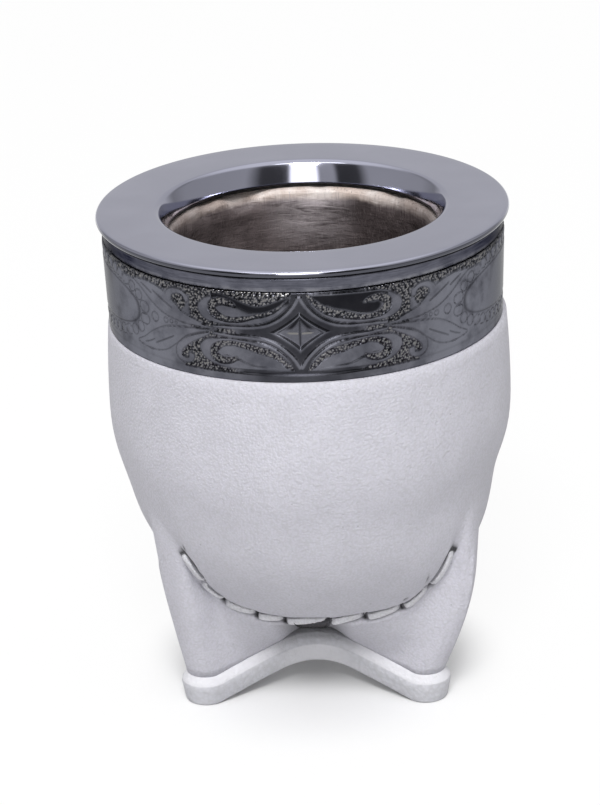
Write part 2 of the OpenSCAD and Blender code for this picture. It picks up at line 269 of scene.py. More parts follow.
def bowl_profile(r, depth, turns):
    """Points of a bowl of radius r at the waist, which hangs a depth below it."""
    return [(r * math.sin(a), waist_z - depth * math.cos(a)) for a in turns]


def wander(x, seed, waves=5):
    """A smooth wobble round 0 that repeats after a turn of x."""
    draw = np.random.default_rng(seed)
    return sum(math.sin(n * x + draw.uniform(0, math.tau)) / n for n in range(2, 2 + waves))


gourd_low, gourd_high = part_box("gourd_cup")
skin_gap = 0.6 * MM
gourd_r = gourd_high[0] - skin_gap
gourd_bottom = gourd_low[2] + skin_gap
cut_z = gourd_high[2]
waist_z = 65 * MM
gourd_wall = 6 * MM
mouth_r = 27.4 * MM
cut_bevel, cut_margin = 1.4 * MM, 2 * MM
throat_h = 4 * MM
neck_r = 38.5 * MM - skin_gap
neck_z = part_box("chased_band")[0][2]
hollow_r = gourd_high[0] - gourd_wall
hollow_deep = waist_z - gourd_low[2] - gourd_wall
hollow_top = cut_z - throat_h
quarter_turn = np.radians(np.linspace(0, 90, 20))
gourd_profile = bowl_profile(gourd_r, waist_z - gourd_bottom, quarter_turn)
gourd_profile += [(upper_r(z, gourd_r, neck_r, neck_z), z) for z in np.linspace(waist_z, neck_z, 9)[1:]]
gourd_profile += [(neck_r, cut_z)]
gourd_profile += [(r, cut_z) for r in np.linspace(neck_r - cut_margin, mouth_r + cut_bevel, 4)]
gourd_profile += arc((mouth_r + cut_bevel, cut_z - cut_bevel), cut_bevel, 90, 180)[1:]
hollow_heights = np.linspace(hollow_top, waist_z, 26)
gourd_profile += [(upper_r(z, hollow_r, mouth_r, hollow_top), z) for z in hollow_heights]
gourd_profile += bowl_profile(hollow_r, hollow_deep, quarter_turn[-2::-1])
gourd_bm = lathe(gourd_profile, steps=288)
scrape_waves, scrape_seed, scrape_depth = 9, 3, 0.14 * MM
chip_waves, chip_seed, chip_level, chip_depth, chip_slant = 4, 8, 0.35, 0.9 * MM, 0.5
big_chip, big_chip_at, big_chip_w = 2.1 * MM, -0.52, 0.15
hollow_floor_r = 8 * MM
for vert in gourd_bm.verts:
    r = vert.co.xy.length
    turn = math.atan2(vert.co.x, vert.co.y)
    if hollow_floor_r < r < hollow_r + gourd_wall / 3 and vert.co.z > gourd_bottom + gourd_wall / 2:
        vert.co.xy *= 1 + wander(scrape_waves * turn, scrape_seed) * scrape_depth / r
    if vert.co.z > cut_z - 2 * cut_bevel and r < mouth_r + 2 * cut_bevel:
        chip = max(0.0, wander(chip_waves * turn, chip_seed) - chip_level) * chip_depth
        chip += big_chip * math.exp(-((turn - big_chip_at) / big_chip_w) ** 2)
        vert.co.z -= chip
        vert.co.xy *= 1 + chip_slant * chip / r

wall_dark, wall_light = (0.062, 0.049, 0.049, 1), (0.225, 0.186, 0.186, 1)
wall_sheen_tone = (0.7, 0.63, 0.65, 1)
edge_dark, edge_light = (0.68, 0.56, 0.5, 1), (0.92, 0.84, 0.8, 1)
tool_from, tool_to = -12 * MM, 4 * MM
sheen_from, sheen_to, sheen_back, sheen_low, sheen_high = 0.5 * MM, 12 * MM, 10 * MM, 17 * MM, 6 * MM
edge_low, edge_high, edge_wave = 3.2 * MM, 1.4 * MM, 3 * MM
edge_from, edge_to, edge_side_shade = 9 * MM, 28 * MM, 0.75
gourd_skin, shader, place = new_finish("scraped_gourd", Specular_IOR_Level=0.5)
height = place.axis("Z")
fibre = place.scaled(1, 1, 0.05)
streak = fibre.noise(2600.0, 3, 0.6)
scratch = fibre.noise(9000.0, 2, 0.5)
blade = place.scaled(0.16, 0.16, 1)
tooled = blade.noise(800.0, 3, 0.65, 0.9)
tool_side = 1 - place.axis("X").step(tool_from, tool_to)
blotch = place.noise(160.0, 4, 0.6)
wall_tone = streak * (0.3 - tool_side * 0.25) + tooled * (tool_side * 0.3 + 0.1) + blotch * 0.6
wall_tone += tool_side * 0.11
wall_colour = wall_tone.step(0.35, 0.75).mix(wall_dark, wall_light)
aside = place.math("ABSOLUTE", place.axis("X"))
# A paler patch high on the back of the wall is painted sheen.
painted_sheen = (1 - aside.step(sheen_from, sheen_to)) * place.axis("Y").step(0.0, sheen_back)
painted_sheen *= height.step(cut_z - sheen_low, cut_z - sheen_high)
painted_sheen *= (tooled * 0.8 + blotch * 0.4).step(0.3, 0.72)
wall_colour = painted_sheen.mix(wall_colour, wall_sheen_tone)
edge_at = height + (blotch - 0.5) * edge_wave
pale = edge_at.step(cut_z - edge_low, cut_z - edge_high) * streak.step(0.2, 0.45)
# Towards the sides the pale cut edge is painted darker as shade.
pale *= 1 - aside.step(edge_from, edge_to) * edge_side_shade
edge_colour = blotch.step(0.35, 0.7).mix(edge_dark, edge_light)
place.set(shader.inputs["Base Color"], pale.mix(wall_colour, edge_colour))
place.set(shader.inputs["Roughness"], streak.step(0.2, 0.9) * 0.2 + 0.16)
(streak * 0.4 + scratch * 0.2 + tooled * 1.1).bump(shader, 0.22 * MM, 0.9)
gourd_cup = new_piece("gourd_cup.scraped", gourd_bm, gourd_skin)
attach(gourd_cup, "root")
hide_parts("gourd_cup")


# The setting resin: a dark compound poured into the ferrule, which glues it to the gourd.
# Only a thin uneven line of it shows, between the lip and the gourd's cut edge.
resin_paint, shader, place = new_finish("setting_resin", Roughness=0.45)
lumps = place.noise(900.0, 3)
place.set(shader.inputs["Base Color"], lumps.step(0.3, 0.75).mix(grey(0.008), grey(0.035, 0.1)))
lumps.bump(shader, 0.2 * MM, 0.8)
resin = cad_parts["resin_bed"]
resin.data.materials.clear()
resin.data.materials.append(resin_paint)


# The mouth ring: a flat ring of polished steel, spun in a lathe, with its outer edge hemmed under.
# Its inner edge flares down into a short lip that covers the gourd's edge. The foot of the lip and the
# underside of the hem are painted dark as shade.
ring_low, ring_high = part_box("mouth_ring")
cup_h = ring_high[2]
rim_r = ring_high[0]
rim_bead = 0.75 * MM
hem_w = 2 * MM
sheet_t = 0.8 * MM
throat_r = 27.8 * MM
lip_bend, lip_top, lip_foot, lip_steps = 1.4 * MM, 61, 76, 10
lip_edge = 0.2 * MM
lip_back = 1.4 * sheet_t
bead_at = (rim_r - rim_bead, cup_h - rim_bead)
lip_end = (throat_r + lip_edge, ring_low[2] + lip_edge)
lip_slopes = [math.radians(a) for a in np.linspace(lip_foot, lip_top, lip_steps)]
lip = [(lip_end[0] - lip_edge * math.sin(lip_slopes[0]), lip_end[1] + lip_edge * math.cos(lip_slopes[0]))]
lip_rise = (cup_h - lip_bend * (1 - math.cos(lip_slopes[-1])) - lip[0][1]) / lip_steps
for slope in lip_slopes:
    lip.append((lip[-1][0] + lip_rise / math.tan(slope), lip[-1][1] + lip_rise))
bend_at = (lip[-1][0] + lip_bend * math.sin(lip_slopes[-1]), cup_h - lip_bend)
ring_profile = arc(bead_at, rim_bead, -90, 90, 14)
ring_profile += [(r, cup_h) for r in np.linspace(bead_at[0], bend_at[0], 8)[1:-1]]
ring_profile += arc(bend_at, lip_bend, 90, 90 + lip_top, 8) + lip[-2:0:-1]
ring_profile += arc(lip_end, lip_edge, 90 + lip_foot, 360, 10)
ring_profile += [(bend_at[0], cup_h - lip_back)]
ring_profile += [(bead_at[0] - hem_w, cup_h - sheet_t), (bead_at[0] - hem_w, cup_h - 2 * rim_bead)]
ring_bm = lathe(ring_profile, steps=320)
ring_dim, ring_bright, ring_shade_tone = (0.45, 0.455, 0.555, 1), (0.485, 0.49, 0.595, 1), (0.09, 0.092, 0.11, 1)
hem_dark, hem_clear = 0.6 * MM, 0.35 * MM
foot_dark, foot_clear = 0.25 * MM, 0.55 * MM
ring_metal, shader, place = new_finish("polished_ring", Metallic=1.0)
radius = place.scaled(1, 1, 0).length()
turning = place.node("CombineXYZ", {}, {"X": radius, "Y": 0.0, "Z": 0.0}).noise(9000.0, 2, 0.6)
smear = place.noise(70.0, 3)
over_hem = place.axis("Z").step(cup_h - hem_dark, cup_h - hem_clear)
polished = smear.step(0.3, 0.7).mix(ring_dim, ring_bright)
# The hem's underside and the lip's foot are painted dark as shade.
hem_and_foot_shade = radius.step(rim_r - hem_w, rim_r - hem_w / 2) * (1 - over_hem)
hem_and_foot_shade += 1 - place.axis("Z").step(ring_low[2] + foot_dark, ring_low[2] + foot_clear)
place.set(shader.inputs["Base Color"], hem_and_foot_shade.mix(polished, ring_shade_tone))
place.set(shader.inputs["Roughness"], smear * 0.08 + 0.06)
turning.bump(shader, 0.004 * MM, 0.5)
mouth_ring = new_piece("mouth_ring.polished", ring_bm, ring_metal)
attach(mouth_ring, "root")
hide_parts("mouth_ring")


# The collar: a plain strip of steel that tapers in from the ring to the band.
# It is brushed lengthwise, so its fine marks run round the cup, and its lower edge is painted brighter as a
# highlight.
collar_low, collar_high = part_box("collar_ring")
collar_top_r = collar_high[0]
collar_low_r = 41.2 * MM
collar_round = 0.25 * MM
collar_curve = 1.6
collar_h = collar_high[2] - collar_low[2]
collar_profile = [(collar_low_r - sheet_t, collar_low[2]), (collar_low_r - collar_round, collar_low[2]),
                  (collar_low_r, collar_low[2] + collar_round)]
collar_profile += [(collar_low_r + (collar_top_r - collar_low_r) * t ** collar_curve,
                    collar_low[2] + collar_h * t) for t in (0.3, 0.5, 0.7, 0.85, 0.97)]
collar_profile += [(collar_top_r - collar_round, collar_high[2]), (collar_top_r - sheet_t, collar_high[2])]
collar_bm = lathe(collar_profile, steps=256)
collar_dark, collar_light = (0.064, 0.066, 0.084, 1), (0.16, 0.163, 0.2, 1)
collar_highlight_tone = (0.3, 0.3, 0.33, 1)
highlight_low, highlight_high = collar_low[2] + 0.5 * MM, collar_low[2] + 1.3 * MM
collar_metal, shader, place = new_finish("brushed_collar", Metallic=1.0, Specular_Tint=grey(0.25))
brushing = place.scaled(0.05, 0.05, 1).noise(5200.0, 3, 0.6)
tarnish = place.noise(260.0, 4, 0.6)
dull = (brushing * 0.6 + tarnish * 0.5).step(0.3, 0.8).mix(collar_dark, collar_light)
# The lower edge is painted brighter as a highlight.
painted_edge_highlight = (1 - place.axis("Z").step(highlight_low, highlight_high)) * tarnish.step(0.3, 0.7)
place.set(shader.inputs["Base Color"], (painted_edge_highlight * 0.7).mix(dull, collar_highlight_tone))
place.set(shader.inputs["Roughness"], tarnish * 0.2 + 0.2)
brushing.bump(shader, 0.02 * MM, 0.6)
collar_ring = new_piece("collar_ring.brushed", collar_bm, collar_metal)
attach(collar_ring, "root")
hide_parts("collar_ring")


# The band: a strip of steel chased by hand with a lozenge, scrolls, leaves and a plain shield.
# The ground is sunk and stippled with a round punch and blackened, and the ornament is polished.
tiny = 1e-9


def smooth_step(x, low, high):
    """Smooth step from 0 at low to 1 at high."""
    t = np.clip((x - low) / (high - low), 0, 1)
    return t * t * (3 - 2 * t)


def bell(x, half):
    """1 at 0, falling off on both sides to nearly nothing at twice the half-width."""
    return np.exp(-(x / half) ** 2)


def curve_through(points, steps=6):
    """A smooth line through points, each with as many numbers as it needs."""
    p = np.array([points[0], *points, points[-1]], float)
    t = np.linspace(0, 1, steps, endpoint=False)[:, None]
    runs = []
    for a, b, c, d in zip(p[:-3], p[1:-2], p[2:-1], p[3:]):
        bend, twist = 2 * a - 5 * b + 4 * c - d, 3 * b - a - 3 * c + d
        runs.append(0.5 * (2 * b + (c - a) * t + bend * t ** 2 + twist * t ** 3))
    return np.vstack(runs + [p[-1:]])


def stroke(x, y, points):
    """Distance to the edge of a line drawn through (x, y, half-width) points, negative inside."""
    line = curve_through(points)
    nearest = np.full(x.shape, np.inf)
    for a, b in zip(line[:-1], line[1:]):
        run = b[:2] - a[:2]
        t = np.clip(((x - a[0]) * run[0] + (y - a[1]) * run[1]) / max(run @ run, tiny), 0, 1)
        gap = np.hypot(x - a[0] - t * run[0], y - a[1] - t * run[1]) - (a[2] + (b[2] - a[2]) * t)
        nearest = np.minimum(nearest, gap)
    return nearest


def outline(x, y, points):
    """Distance to a closed smooth outline through points, negative inside."""
    line = curve_through([*points, points[0]])
    nearest = stroke(x, y, [(px, py, 0) for px, py in [*points, points[0]]])
    inside = np.zeros(x.shape, bool)
    for a, b in zip(line[:-1], line[1:]):
        rise = b[1] - a[1]
        if abs(rise) > tiny:
            inside ^= ((a[1] > y) != (b[1] > y)) & (x < (b[0] - a[0]) * (y - a[1]) / rise + a[0])
    return np.where(inside, -nearest, nearest)


def punched(x, y, pitch, bead, seed):
    """Height from 0 to 1 of a field of round punch marks at a pitch, set by hand and so uneven."""
    draw = np.random.default_rng(seed)
    cells = 64
    table = draw.uniform(-0.3, 0.3, (cells, cells, 2))
    size = draw.uniform(0.75, 1.1, (cells, cells))
    row_h = pitch * 0.87
    row = np.floor(y / row_h).astype(int)
    best = np.zeros(x.shape)
    for r in (row - 1, row, row + 1):
        shift = np.where(r % 2 == 0, 0.0, 0.5)
        col = np.floor(x / pitch - shift).astype(int)
        for c in (col - 1, col, col + 1):
            jitter = table[r % cells, c % cells]
            away_x = x - (c + 0.5 + shift + jitter[..., 0]) * pitch
            away_y = y - (r + 0.5 + jitter[..., 1]) * row_h
            away = np.hypot(away_x, away_y) / (bead * size[r % cells, c % cells])
            best = np.maximum(best, np.sqrt(np.clip(1 - away ** 2, 0, 1)))
    return best


def wrapped_sheet(points, **layers):
    """A sheet of rows of points that closes on itself along each row, with named numbers on its points."""
    rows, cols = points.shape[:2]
    bm = bmesh.new()
    bmesh.ops.create_grid(bm, x_segments=cols, y_segments=rows - 1, size=1)
    named = [(bm.verts.layers.float.new(name), values) for name, values in layers.items()]
    for n, vert in enumerate(bm.verts):
        row, col = divmod(n, cols + 1)
        vert.co = points[row, col % cols]
        for layer, values in named:
            vert[layer] = values[row, col % cols]
    bmesh.ops.remove_doubles(bm, verts=bm.verts, dist=0.001 * MM)
    bmesh.ops.recalc_face_normals(bm, faces=bm.faces)
    return bm


# Sizes of the ornament in millimetres. A quarter of it is drawn and mirrored: along from the middle of the
# lozenge, and up or down from the band's middle. The upper hooks and the upper left scroll differ.
band_low, band_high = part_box("chased_band")
band_r = band_high[0] / MM
band_mid = 93.4
band_depth, band_wall, band_drop = 0.35, 0.8, 0.45
ornament_start = 0.94
quarter = math.pi * band_r / 2
fine_to = 41.0
fine_cols, plain_cols, band_rows = 200, 46, 92
arm_line = [(0.2, 7.3, 0.45), (1.2, 5.6, 0.45), (2.6, 4.0, 0.45), (4.6, 2.5, 0.45), (7.2, 1.45, 0.45),
            (10.5, 1.0, 0.45), (14.0, 0.9, 0.4), (17.5, 0.7, 0.35)]
scroll_edge = [(1.6, 8.0), (6.0, 7.9), (12.0, 7.8), (16.5, 7.6), (19.6, 6.4), (21.0, 4.4), (20.2, 2.6),
               (18.0, 1.6), (14.0, 1.45), (10.5, 1.6), (7.5, 2.1), (5.2, 3.1), (3.3, 4.6), (2.1, 6.2)]
channel_line = [(1.7, 7.7, 0.35), (2.9, 6.4, 0.5), (4.4, 5.1, 0.62), (6.4, 4.1, 0.7), (8.8, 3.5, 0.7),
                (10.8, 2.9, 0.55), (13.3, 2.5, 0.45), (15.8, 2.8, 0.6), (17.6, 3.9, 0.8), (17.7, 5.3, 0.85),
                (16.1, 6.2, 0.7), (14.0, 6.0, 0.5), (13.0, 5.5, 0.25)]
tongue_line = [(4.6, 6.9, 0.3), (6.8, 6.1, 0.75), (9.5, 5.6, 1.0), (12.2, 4.7, 0.8), (14.6, 4.2, 0.75),
               (15.6, 4.6, 0.4)]
crook_line = [(19.0, 1.0, 0.3), (21.5, 2.0, 0.6), (24.0, 3.3, 0.75), (26.0, 5.0, 0.8), (26.3, 6.6, 0.7),
              (25.0, 7.5, 0.62), (23.5, 7.2, 0.6), (23.2, 6.3, 0.7)]
hook_line = [(20.5, 0.9, 0.3), (23.4, 1.7, 0.5), (26.2, 2.7, 0.6), (28.0, 4.2, 0.7), (28.1, 5.8, 0.75),
             (26.8, 6.8, 0.7), (25.0, 6.8, 0.6), (23.9, 6.1, 0.6), (23.7, 5.4, 0.55)]
hook_eye, crook_eye, eye_from, eye_to = (25.6, 4.8), (24.3, 5.4), 1.5, 2.2
leaf_edge = [(17.0, 0.1), (20.0, 0.8), (24.0, 2.2), (27.0, 4.6), (30.0, 6.5), (34.0, 7.25), (38.8, 6.7),
             (36.3, 5.2), (33.2, 3.1), (29.5, 1.3), (25.5, 0.5), (21.0, 0.15)]
vein_lines = [[(27.4, 3.0, 0.02), (30.2, 4.4, 0.05), (32.6, 5.6, 0.02)],
              [(33.0, 4.9, 0.02), (34.6, 5.7, 0.04), (36.2, 6.3, 0.02)]]
eye_beads = [(26.6, 0.0, 0.3), (27.8, 0.0, 0.4), (29.3, 0.0, 0.55), (32.4, 0.0, 1.0), (35.4, 1.25, 1.15)]
shield_half, shield_rise, shield_power = 27.5, 5.3, 2.7
bead_gap, bead_pitch, bead_r = 1.75, 2.6, 1.15
lozenge_half, lozenge_rise, lozenge_power, lozenge_slope, rim_w = 5.3, 3.75, 0.88, 2.2, 0.22
star_half, star_rise, star_power, facet_power, star_line_w = 2.9, 2.9, 0.8, 0.8, 0.2
crescent_at, crescent_w, crescent_drop, crescent_top = 8.5, 5.0, 2.4, 8.0
crescent_from, crescent_to, bowl_from, bowl_to = 1.8, 19, 2, 18
arms_end, arms_gone = 11, 14
left_thin, thin_from, thin_to = 0.4, 9, 12
stipple_from, stipple_to, strip_at, low_strip_to = 22.6, 23.6, 6.5, 25.0
border_z, border_line_w = 84.8, 0.24
line_w, line_depth = 0.1, 0.15
band_taper = 0.55
punch_pitch, punch_r, punch_seed = 0.58, 0.31, 5
plain_depth, trough_depth, pillow_depth, pillow_w, mark_rise = 0.06, 0.3, 0.1, 0.55, 0.27
bowl_depth, star_depth, dome_rise, border_depth, deepest = 0.2, 0.4, 0.1, 0.14, band_depth + 0.2

quarter_cols = np.concatenate([np.linspace(0, fine_to, fine_cols, endpoint=False),
                               np.linspace(fine_to, quarter, plain_cols, endpoint=False)])
half = np.concatenate([quarter_cols, 2 * quarter - np.concatenate([[quarter], quarter_cols[:0:-1]])])
along = np.concatenate([half, half + 2 * quarter])
band_foot = band_low[2] - band_drop * MM
up = np.linspace(band_foot / MM, band_high[2] / MM, band_rows + 1)
up_grid, along_grid = np.meshgrid(up, along, indexing="ij")
x = np.abs((along_grid + quarter) % (2 * quarter) - quarter)
high = up_grid - band_mid
y = np.abs(high)
on_left = ((along_grid + quarter) % (2 * quarter) < quarter) & (high > 0)

arm = stroke(x, y, arm_line)
scroll = outline(x, y, scroll_edge)
channel = stroke(x, y, channel_line)
channel = channel + np.where(on_left, left_thin * (1 - smooth_step(x, thin_from, thin_to)), 0)
tongue = stroke(x, y, tongue_line)
crook = np.where(high > 0, stroke(x, y, hook_line), stroke(x, y, crook_line))
leaf = np.minimum(outline(x, y, leaf_edge), crook)
shield_along = np.maximum((quarter - x) / shield_half, 0)
shield_level = shield_along ** shield_power + (y / shield_rise) ** shield_power
shield = (shield_level ** (1 / shield_power) - 1) * shield_rise
lozenge = (x / lozenge_half) ** lozenge_power + (y / lozenge_rise) ** lozenge_power
lozenge = (lozenge - 1) * lozenge_slope
star = (x / star_half) ** star_power + (y / star_rise) ** star_power
beads = np.full(x.shape, np.inf)
ring_turn = np.linspace(0, math.pi / 2, 400)
ring_x = quarter - (shield_half + bead_gap) * np.cos(ring_turn) ** (2 / shield_power)
ring_y = (shield_rise + bead_gap) * np.sin(ring_turn) ** (2 / shield_power)
walked = np.concatenate([[0], np.cumsum(np.hypot(np.diff(ring_x), np.diff(ring_y)))])
ring_beads = [(np.interp(d, walked, ring_x), np.interp(d, walked, ring_y), bead_r)
              for d in np.arange(bead_pitch / 2, walked[-1], bead_pitch)]
for bead_x, bead_y, r in ring_beads + eye_beads:
    beads = np.minimum(beads, np.hypot(x - bead_x, y - bead_y) - r)

inside_arms = smooth_step(scroll, 0, 0.2) * smooth_step(arm, -0.05, 0.1)
inside_arms *= 1 - smooth_step(x, arms_end, arms_gone)
raised = np.minimum.reduce([scroll, arm, leaf, shield, beads, lozenge])
open_ground = smooth_step(raised, -0.05, 0.15) * (1 - inside_arms)
in_strip = smooth_step(y, strip_at - 0.3, strip_at + 0.3) * np.where(high > 0, 1, x < low_strip_to)
from_eye = np.where(high > 0, np.hypot(x - hook_eye[0], y - hook_eye[1]),
                    np.hypot(x - crook_eye[0], y - crook_eye[1]))
in_eye = 1 - smooth_step(from_eye, eye_from, eye_to)
stippled = np.maximum(in_eye, 1 - smooth_step(x, stipple_from, stipple_to) * (1 - in_strip))
in_channel = 1 - smooth_step(channel, -0.12, 0.12)
crescent = y - crescent_top + crescent_drop * bell(x - crescent_at, crescent_w)
in_crescent = smooth_step(crescent, -0.12, 0.12) * on_left * (x > crescent_from) * (x < crescent_to)
ground = np.maximum.reduce([in_channel, open_ground * stippled, in_crescent])
in_lozenge = 1 - smooth_step(lozenge, -0.12, 0.0)
trough = inside_arms * (1 - in_lozenge)
lozenge_rim = bell(lozenge, rim_w)
marks = punched(along_grid, up_grid, punch_pitch, punch_r, punch_seed)
pillow = np.maximum.reduce([bell(np.maximum(-shape, 0), pillow_w) * (shape < 0)
                            for shape in (scroll, leaf, arm)])
relief = -band_depth * ground - plain_depth * open_ground * (1 - stippled)
relief -= trough_depth * trough * (1 - lozenge_rim)
relief -= pillow_depth * pillow * (1 - ground)
relief += ground * marks * mark_rise
lines = [np.abs(shape) for shape in (arm, scroll, leaf, shield, beads, channel)]
lines += [stroke(x, y, vein) for vein in vein_lines]
cut_line = bell(np.minimum.reduce(lines), line_w)
relief -= line_depth * cut_line
in_tongue = smooth_step(-tongue, -0.8, 0.0)
hood = np.maximum(in_tongue, smooth_step(y, 5.0, 5.8) * smooth_step(-scroll, 0.15, 0.45))
under_crescent = np.minimum(1, 1.3 * bell(crescent + 0.85, 0.85))
bowl = np.where(on_left, under_crescent, np.where(high > 0, hood, in_tongue))
bowl *= smooth_step(channel, 0, 0.15) * (x > bowl_from) * (x < bowl_to)
relief -= bowl_depth * bowl * (1 - ground)
facets = np.clip(1 - star, 0, 1) ** facet_power
relief -= in_lozenge * star_depth * (1 - lozenge_rim) * (1 - facets)
domes = np.clip(-beads / bead_r, 0, 1)
relief += dome_rise * (np.sqrt(domes) - 1) * (beads < 0)
border = 1 - smooth_step(up_grid, border_z - 0.1, border_z + 0.05)
border_line = bell(up_grid - border_z + 0.06, border_line_w) * (1 - 0.75 * smooth_step(x, 7, 12))
relief = np.clip(relief * (1 - border) - border_depth * border_line, -deepest, 0)
upper_shade = smooth_step(high, 1.5, 3.0)
star_shade = in_lozenge * smooth_step(star, 0.85, 1.1) * (1 - smooth_step(star, 1.2, 1.5))
star_shade *= smooth_step(high, 0.3, 1.2)
star_line = bell(x, star_line_w) + 0.7 * bell(y + 0.45 - high.clip(0, 0.9), star_line_w)
star_line *= in_lozenge * (star < 0.95)
# How black each part of the ornament is, and where it lies. The ground, troughs and cut lines are
# blackened;
# the black of the upper bowls and the upper star facets is painted shade.
black_parts = [(1, ground * (1 - 0.8 * marks)), (0.6, cut_line), (1, border_line), (0.95, bowl * upper_shade),
               (0.75, trough * (1 - lozenge_rim)), (0.95, star_shade), (0.9, star_line)]
blackening = np.maximum.reduce([weight * part for weight, part in black_parts])
blackening *= 1 - border * (1 - border_line)
# The border under the lozenge is painted darker as shade.
blackening = np.maximum(blackening, 0.6 * border * (1 - smooth_step(x, 6, 17)))

turns = (along_grid + ornament_start) / band_r - math.pi / 2
outer = (band_r + relief - band_taper * (up[-1] - up_grid) / (up[-1] - up[0])) * MM
band_points = np.stack([outer * np.cos(turns), outer * np.sin(turns), up_grid * MM], -1)
inner = (band_r - band_depth - band_wall) * MM
inner_ring = np.stack([inner * np.cos(turns), inner * np.sin(turns), up_grid * MM], -1)
band_points = np.concatenate([inner_ring[:1], band_points, inner_ring[-1:]])
ridge = in_lozenge * bell(y, 0.4) * (facets > 0.06) * smooth_step(x, 0.1, 0.35)
stipple = np.maximum(ground * marks, ridge) * (1 - border)
edge_rows = ((1, 1), (0, 0))
band_bm = wrapped_sheet(band_points, blackening=np.pad(blackening, edge_rows),
                        stipple=np.pad(stipple, edge_rows),
                        polish=np.pad(smooth_step(x, 20, 36), edge_rows))
bmesh.ops.bridge_loops(band_bm, edges=[e for e in band_bm.edges if e.is_boundary])
bmesh.ops.recalc_face_normals(band_bm, faces=band_bm.faces)
band_dark, band_light = (0.085, 0.087, 0.105, 1), (0.165, 0.167, 0.195, 1)
band_polish_sheen, band_black = (0.185, 0.19, 0.223, 1), (0.006, 0.006, 0.008, 1)
punch_tip = (0.22, 0.214, 0.21, 1)
band_metal, shader, place = new_finish("chased_steel", Metallic=1.0, Specular_Tint=grey(0.5))
cloud = place.noise(190.0, 4, 0.6)
steel = cloud.step(0.3, 0.7).mix(band_dark, band_light)
# Towards the plain shield the steel is brighter, partly as its polish and partly as a painted reflection.
steel = (place.stored("polish") * cloud.step(0.2, 0.6)).mix(steel, band_polish_sheen)
# The black holds the blackened ground and lines and the painted shade of the ornament.
patina_and_shade_steel = (place.stored("blackening") * 0.97).mix(steel, band_black)
tips = place.stored("stipple").step(0.55, 0.98)
place.set(shader.inputs["Base Color"], tips.mix(patina_and_shade_steel, punch_tip))
place.set(shader.inputs["Roughness"], cloud * 0.16 + 0.16)
rub = place.scaled(1, 1, 0.2).noise(6000.0, 2)
rub.bump(shader, 0.006 * MM, 0.4)
chased_band = new_piece("chased_band.relief", band_bm, band_metal)
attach(chased_band, "root")
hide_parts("chased_band")


# The leather cover: one piece of white leather, wetted and drawn over the gourd, and tucked under the band.
# Between the legs it is pulled in to a laced seam, and the fullness left over forms the three legs.
legs = 3
half_bay = math.pi / legs
body_r = 42.2 * MM
belly_drop = 50.5 * MM
leather_t = 2 * MM
shoulder_r = 41.5 * MM
shoulder_z = band_foot - 0.6 * MM
foot_w, foot_reach, bay_r = 5.4 * MM, 27.1 * MM, 14 * MM
sole_margin = 1.2 * MM
sole_edge_h, sole_bevel_h, sole_arch, arch_curve = 4.7 * MM, 1.9 * MM, 6.5 * MM, 1.25
sole_h = sole_edge_h + sole_bevel_h
leg_swell = [3.6 * MM, 1.9 * MM, 0.8 * MM]
swell_curve = 3
flank_full, flank_at, flank_w = 1.3 * MM, 0.5, 0.22
right_full, full_from, full_to, full_end, full_gone = 2.6 * MM, *np.radians((17, 47, 75, 110))
full_low, full_high = 22 * MM, 50 * MM
lean = 0.25 * MM
trim, right_trim, trim_z, trim_h = 0.7 * MM, 0.6 * MM, 49.5 * MM, 7 * MM
steep_at, steep_w, steep_fan = 0.72, 0.2, math.radians(5)
knee_len, knee_from, knee_to = 2.2 * MM, 0.8, 0.95
# The seam of a bay: share of its way, degrees round the cup from the bay's middle, and height in mm.
seam_marks = [(-1, -60, 48), (-0.9, -51.5, 44), (-0.8, -45.3, 38.7), (-0.72, -45.3, 33.7),
              (-0.64, -45.7, 29), (-0.56, -44.3, 26), (-0.47, -38.5, 24.3), (-0.36, -30, 23.4),
              (-0.24, -20, 22.8), (-0.12, -10, 22.7), (0, 0, 22.75), (0.12, 10.5, 22.3),
              (0.24, 20.5, 22.45), (0.36, 30.5, 23), (0.47, 39, 23.6), (0.56, 46, 24.9), (0.64, 50, 28),
              (0.72, 52.8, 32.5), (0.8, 55.2, 37), (0.9, 57.6, 42.5), (1, 60, 48)]
# Where the stitches end and the leather is pricked, as shares of the seam's way and mm above the seam.
stitch_ends = [-0.81, -0.677, -0.55, -0.348, -0.172, 0.105, 0.325, 0.525, 0.653, 0.805]
pricked_at = [(-0.81, 2.0), (-0.677, 2.1), (-0.55, 2.0), (-0.348, 1.8), (0.525, 3.4), (0.653, 3.4)]
lace_w = 1.5 * MM
lace_start, lace_stop = -0.65, 0.15

skirt_w = foot_w - sole_margin
bay_span = foot_w + bay_r
flank_start = bay_span / math.tan(half_bay)
hollow_len = (bay_span - skirt_w) * (math.pi / 2 - half_bay)
flank_len = foot_reach - flank_start
tip_len = skirt_w * math.pi / 2
edge_len = hollow_len + flank_len + tip_len
leg_way = np.array([math.sin(half_bay), math.cos(half_bay)])
across = np.array([-math.cos(half_bay), math.sin(half_bay)])
seam_line = curve_through(seam_marks, 8)


def foot_edge(s, w):
    """Outline of a bay, s from -1 to 1 and feet of half-width w: how far along and how far out."""
    walk = np.abs(s) * edge_len
    turn = -math.pi / 2 + (math.pi / 2 - half_bay) * np.clip(walk / hollow_len, 0, 1)
    hollow = (bay_span - w) * np.stack([np.cos(turn), np.sin(turn)], -1)
    hollow[..., 1] += bay_span / math.sin(half_bay)
    reach = flank_start + np.clip(walk - hollow_len, 0, flank_len)
    flank = reach[..., None] * leg_way + w * across
    turn = math.pi / 2 * (1 - np.clip((walk - hollow_len - flank_len) / tip_len, 0, 1))
    tip = foot_reach * leg_way + w * (np.cos(turn)[..., None] * leg_way + np.sin(turn)[..., None] * across)
    where = walk[..., None]
    plan = np.where(where < hollow_len, hollow, np.where(where < hollow_len + flank_len, flank, tip))
    plan[..., 0] *= np.sign(s)
    return plan


